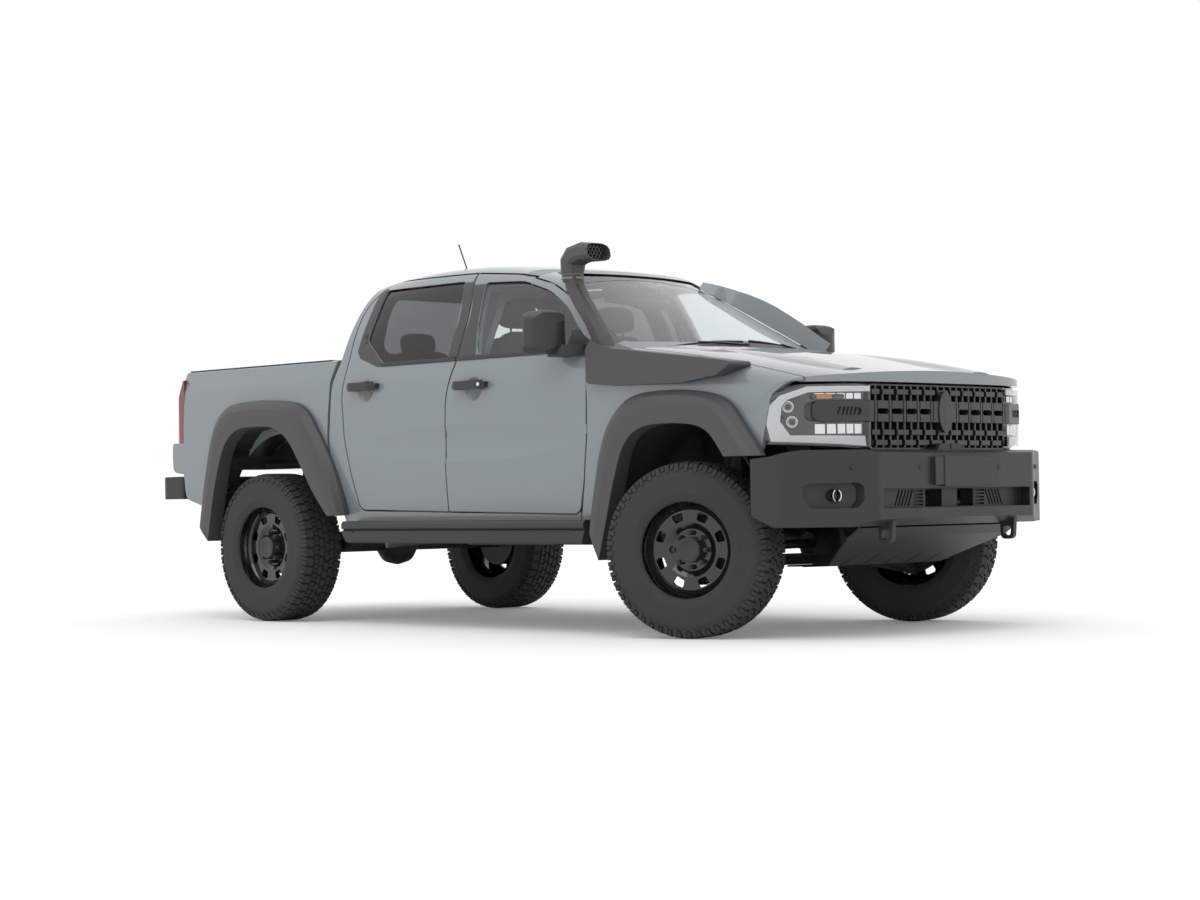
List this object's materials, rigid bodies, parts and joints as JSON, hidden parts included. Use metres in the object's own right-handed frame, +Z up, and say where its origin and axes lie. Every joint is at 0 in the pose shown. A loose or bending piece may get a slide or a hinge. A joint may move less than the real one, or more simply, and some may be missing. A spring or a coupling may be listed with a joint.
{
  "type": "off-road pickup truck",
  "caption": "Lifted double-cab off-road pickup with wide arch flares, snorkel, steel bumper, side steps and open load bed; wheels steer and roll, doors, bonnet and tailgate open",
  "frame": {"origin": "middle of the overall length and width, on the ground under the tyres", "axes": "+X towards the nose, +Y to the vehicle's left, +Z up"},
  "size_m": [5.35, 2.2412, 2.0967],
  "materials": {
    "body_paint": "gloss",
    "side_glass": "tinted, gloss",
    "clear_glass": "clear, gloss",
    "trim_black": "fine grain",
    "flare_plastic": "fine grain",
    "tyre": "matte",
    "wheel_black": "gloss",
    "chassis_steel": "satin",
    "cast": "bare casting",
    "bumper_steel": "textured powder coat",
    "lamp_clear": "clear lens",
    "lamp_red": "gloss lens",
    "grille_black": "satin",
    "seat_fabric": "woven",
    "dash_plastic": "soft grain",
    "exhaust_steel": "dull"
  },
  "bodies": {
    "chassis": {"cab_shell": "body_paint", "fixed_glass": "clear_glass", "front_wings": "body_paint", "arch_flares": "flare_plastic", "arch_liners": "trim_black", "load_bed": "body_paint", "tail_lamps": "lamp_red", "headlamps": "lamp_clear", "grille": "grille_black", "front_bumper": "bumper_steel", "skid_plate": "bumper_steel", "rear_bumper": "bumper_steel", "ladder_frame": "chassis_steel", "powertrain": "cast", "front_axle": "cast", "rear_axle": "cast", "fuel_tank": "trim_black", "exhaust": "exhaust_steel", "side_steps": "trim_black", "snorkel": "flare_plastic", "aerial": "trim_black", "seats": "seat_fabric", "dashboard": "dash_plastic"},
    "bonnet": {"bonnet": "body_paint"},
    "tailgate": {"tailgate": "body_paint"},
    "front_door_right": {"front_door_right": "body_paint", "front_door_glass_right": "clear_glass", "mirror_and_handle_right": "trim_black"},
    "rear_door_right": {"rear_door_right": "body_paint", "rear_door_glass_right": "side_glass", "rear_handle_right": "trim_black"},
    "knuckle_right": {"knuckle_right": "cast"},
    "front_door_left": {"front_door_left": "body_paint", "front_door_glass_left": "clear_glass", "mirror_and_handle_left": "trim_black"},
    "rear_door_left": {"rear_door_left": "body_paint", "rear_door_glass_left": "side_glass", "rear_handle_left": "trim_black"},
    "knuckle_left": {"knuckle_left": "cast"},
    "wheel_front_right": {"tyre_front_right": "tyre", "rim_front_right": "wheel_black"},
    "wheel_front_left": {"tyre_front_left": "tyre", "rim_front_left": "wheel_black"},
    "wheel_rear_right": {"tyre_rear_right": "tyre", "rim_rear_right": "wheel_black"},
    "wheel_rear_left": {"tyre_rear_left": "tyre", "rim_rear_left": "wheel_black"}
  },
  "joints": [
    {"name": "steer_right", "type": "hinge", "parent": "chassis", "child": "knuckle_right", "pos_m": [1.704, -0.7847, 0.418], "axis": [0, 0, 1], "range_deg": [-53.4, 12.6]},
    {"name": "spin_front_right", "type": "hinge", "parent": "knuckle_right", "child": "wheel_front_right", "pos_m": [1.73014, -0.855, 0.418], "axis": [-0.3486, 0.9373, 0], "continuous": true},
    {"name": "spin_rear_right", "type": "hinge", "parent": "chassis", "child": "wheel_rear_right", "pos_m": [-1.554, -0.855, 0.418], "axis": [0, 1, 0], "continuous": true},
    {"name": "front_door_right_hinge", "type": "hinge", "parent": "chassis", "child": "front_door_right", "pos_m": [1.073, -0.93, 1.1], "axis": [0, 0, 1], "range_deg": [0, 65]},
    {"name": "rear_door_right_hinge", "type": "hinge", "parent": "chassis", "child": "rear_door_right", "pos_m": [0, -0.93, 0.95], "axis": [0, 0, 1], "range_deg": [0, 65]},
    {"name": "steer_left", "type": "hinge", "parent": "chassis", "child": "knuckle_left", "pos_m": [1.704, 0.7847, 0.418], "axis": [0, 0, 1], "range_deg": [-53.4, 12.6]},
    {"name": "spin_front_left", "type": "hinge", "parent": "knuckle_left", "child": "wheel_front_left", "pos_m": [1.67786, 0.855, 0.418], "axis": [-0.3486, 0.9373, 0], "continuous": true},
    {"name": "spin_rear_left", "type": "hinge", "parent": "chassis", "child": "wheel_rear_left", "pos_m": [-1.554, 0.855, 0.418], "axis": [0, 1, 0], "continuous": true},
    {"name": "front_door_left_hinge", "type": "hinge", "parent": "chassis", "child": "front_door_left", "pos_m": [1.073, 0.93, 1.1], "axis": [0, 0, -1], "range_deg": [0, 65]},
    {"name": "rear_door_left_hinge", "type": "hinge", "parent": "chassis", "child": "rear_door_left", "pos_m": [0, 0.93, 0.95], "axis": [0, 0, -1], "range_deg": [0, 65]},
    {"name": "bonnet_hinge", "type": "hinge", "parent": "chassis", "child": "bonnet", "pos_m": [1.346, 0, 1.372], "axis": [0, -1, 0], "range_deg": [0, 50]},
    {"name": "tailgate_hinge", "type": "hinge", "parent": "chassis", "child": "tailgate", "pos_m": [-2.485, 0, 0.917], "axis": [0, -1, 0], "range_deg": [0, 90]}
  ],
  "couplings": [
    {"joint": "steer_left", "follows": "steer_right", "ratio": 1}
  ]
}
